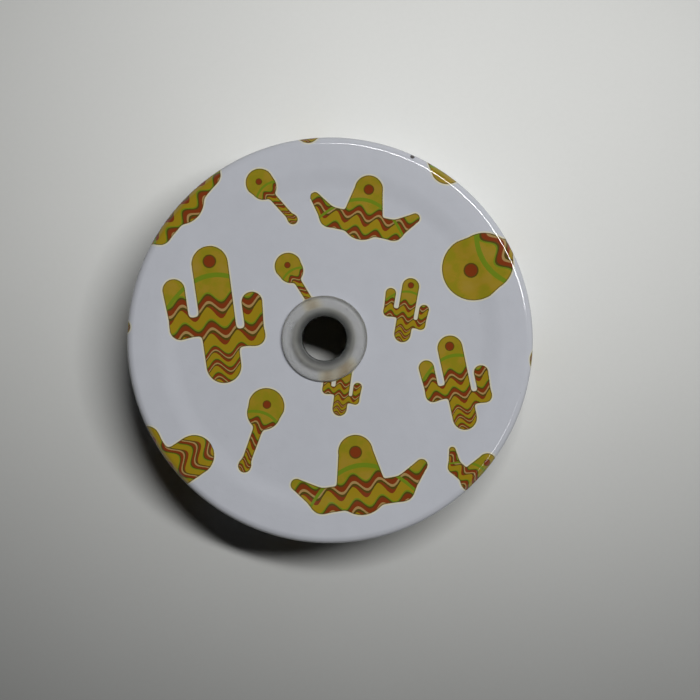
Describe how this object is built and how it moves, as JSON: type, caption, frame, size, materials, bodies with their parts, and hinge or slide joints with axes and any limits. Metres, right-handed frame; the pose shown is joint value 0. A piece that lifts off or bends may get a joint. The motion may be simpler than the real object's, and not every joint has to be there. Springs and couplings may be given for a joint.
{
  "type": "mason jar straw lid",
  "caption": "Printed metal screw lid for a regular-mouth mason jar, with rolled thread, curled edge, sealing ring and an off-centre silicone grommet for a drinking straw.",
  "frame": {"origin": "centre of the circle on which the curled edge rests, under the middle of the lid", "axes": "+Z up through the printed top, along the axis of the jar; +X to the right and +Y up in the picture"},
  "size_m": [0.071, 0.071, 0.0169],
  "materials": {
    "printed_tinplate": "gloss",
    "clear_silicone": "satin",
    "sealing_compound": "satin"
  },
  "bodies": {
    "root": {"lid_shell": "printed_tinplate", "straw_grommet": "clear_silicone", "sealing_ring": "sealing_compound"}
  },
  "joints": []
}
